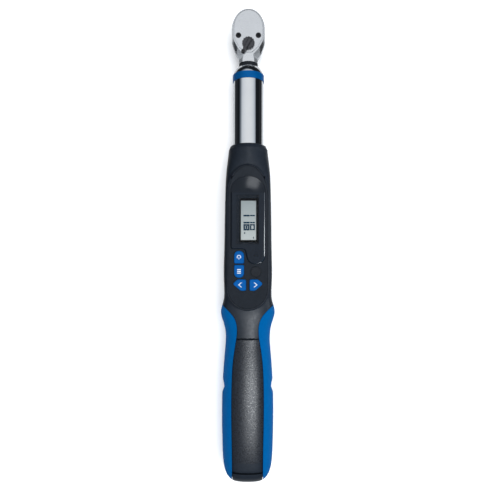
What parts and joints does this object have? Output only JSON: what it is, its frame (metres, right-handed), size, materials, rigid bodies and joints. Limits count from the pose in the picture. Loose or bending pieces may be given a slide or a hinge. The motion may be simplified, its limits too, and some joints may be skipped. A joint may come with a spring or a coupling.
{
  "type": "electronic torque wrench",
  "caption": "Electronic torque wrench: reversible ratchet head with square drive, plated tube, display console with keys, and soft two-colour handle with battery door.",
  "frame": {"origin": "on the drive axis, at the shoulder where the square drive leaves the head's underside", "axes": "+Y along the tool towards the head's front, +Z out of the display, -Z along the square drive towards the socket, +X to the right of the display"},
  "size_m": [0.048, 0.4183, 0.0415],
  "materials": {
    "satin_chrome": "satin plated",
    "bright_chrome": "polished plated",
    "black_oxide": "matt blackened steel",
    "blue_anodised": "satin anodised",
    "spring_steel": "plain",
    "black_shell": "fine satin grain",
    "panel_black": "fine satin grain",
    "smoked_gloss": "polished",
    "smoked_lens": "polished",
    "clear_window": "polished",
    "lcd_glass": "satin",
    "backlight_white": "milky",
    "blue_key": "satin",
    "blue_grip": "soft matt",
    "grey_rubber": "matt",
    "door_black": "fine cross-hatched",
    "board_green": "solder mask",
    "chip_black": "matt",
    "led_clear": "clear",
    "cell_wrap": "printed wrap without text",
    "gauge_foil": "polyimide foil"
  },
  "bodies": {
    "wrench": {"ratchet_head": "satin_chrome", "cover_plate": "satin_chrome", "cover_screws": "black_oxide", "drive_washer": "spring_steel", "nose_cone": "bright_chrome", "neck_seal": "grey_rubber", "colour_ring": "blue_anodised", "tube": "bright_chrome", "beam_pin": "spring_steel", "anchor_pin": "spring_steel", "tube_plug": "black_shell", "strain_gauges": "gauge_foil", "front_shell": "black_shell", "rear_shell": "black_shell", "shell_screws": "black_oxide", "grip_left": "blue_grip", "grip_right": "blue_grip", "tail_cap": "black_shell", "tail_screw": "black_oxide", "control_panel": "panel_black", "display_bezel": "smoked_gloss", "indicator_lens": "smoked_lens", "lcd_window": "clear_window", "lcd_frame": "black_shell", "lcd_glass": "lcd_glass", "backlight": "backlight_white", "main_board": "board_green", "board_chips": "chip_black", "indicator_leds": "led_clear", "buzzer": "chip_black", "key_switches": "chip_black", "port_jack": "chip_black", "battery_tray": "black_shell", "battery_cells": "cell_wrap", "battery_contacts": "spring_steel"},
    "drive": {"drive_gear": "satin_chrome", "detent_spring": "spring_steel"},
    "drive_ball": {"detent_ball": "spring_steel"},
    "selector": {"selector_lever": "satin_chrome", "selector_ball": "spring_steel", "selector_spring": "spring_steel"},
    "rocker": {"pawl": "spring_steel"},
    "power_button": {"key_power": "blue_key"},
    "unit_button": {"key_unit": "blue_key"},
    "down_button": {"key_down": "blue_key"},
    "up_button": {"key_up": "blue_key"},
    "port_flap": {"port_cover": "grey_rubber"},
    "door": {"battery_door": "door_black"}
  },
  "joints": [
    {"name": "drive_spin", "type": "hinge", "parent": "wrench", "child": "drive", "pos_m": [0, 0, 0], "axis": [0, 0, 1], "continuous": true},
    {"name": "ball_press", "type": "slide", "parent": "drive", "child": "drive_ball", "axis": [-1, 0, 0], "range_m": [0, 0.0007], "stiffness_N_per_m": 1500, "springref_m": -0.0005},
    {"name": "lever_swing", "type": "hinge", "parent": "wrench", "child": "selector", "pos_m": [0, -0.0146, 0.016], "axis": [0, 0, 1], "range_deg": [0, 60]},
    {"name": "pawl_rock", "type": "hinge", "parent": "wrench", "child": "rocker", "pos_m": [0, -0.0146, 0.007], "axis": [0, 0, 1], "range_deg": [0, 5.2]},
    {"name": "power_press", "type": "slide", "parent": "wrench", "child": "power_button", "axis": [0, 0, -1], "range_m": [0, 0.0009], "stiffness_N_per_m": 1500, "springref_m": -0.0003},
    {"name": "unit_press", "type": "slide", "parent": "wrench", "child": "unit_button", "axis": [0, 0, -1], "range_m": [0, 0.0009], "stiffness_N_per_m": 1500, "springref_m": -0.0003},
    {"name": "down_press", "type": "slide", "parent": "wrench", "child": "down_button", "axis": [0, 0, -1], "range_m": [0, 0.0009], "stiffness_N_per_m": 1500, "springref_m": -0.0003},
    {"name": "up_press", "type": "slide", "parent": "wrench", "child": "up_button", "axis": [0, 0, -1], "range_m": [0, 0.0009], "stiffness_N_per_m": 1500, "springref_m": -0.0003},
    {"name": "port_flap_hinge", "type": "hinge", "parent": "wrench", "child": "port_flap", "pos_m": [0.0114, -0.2156, 0.02785], "axis": [0, 1, 0], "range_deg": [0, 100]},
    {"name": "door_tilt", "type": "hinge", "parent": "wrench", "child": "door", "pos_m": [0, -0.27475, 0.02317], "axis": [-1, 0, 0], "range_deg": [0, 75]}
  ],
  "couplings": [
    {"joint": "pawl_rock", "follows": "lever_swing", "ratio": 0.0866}
  ]
}
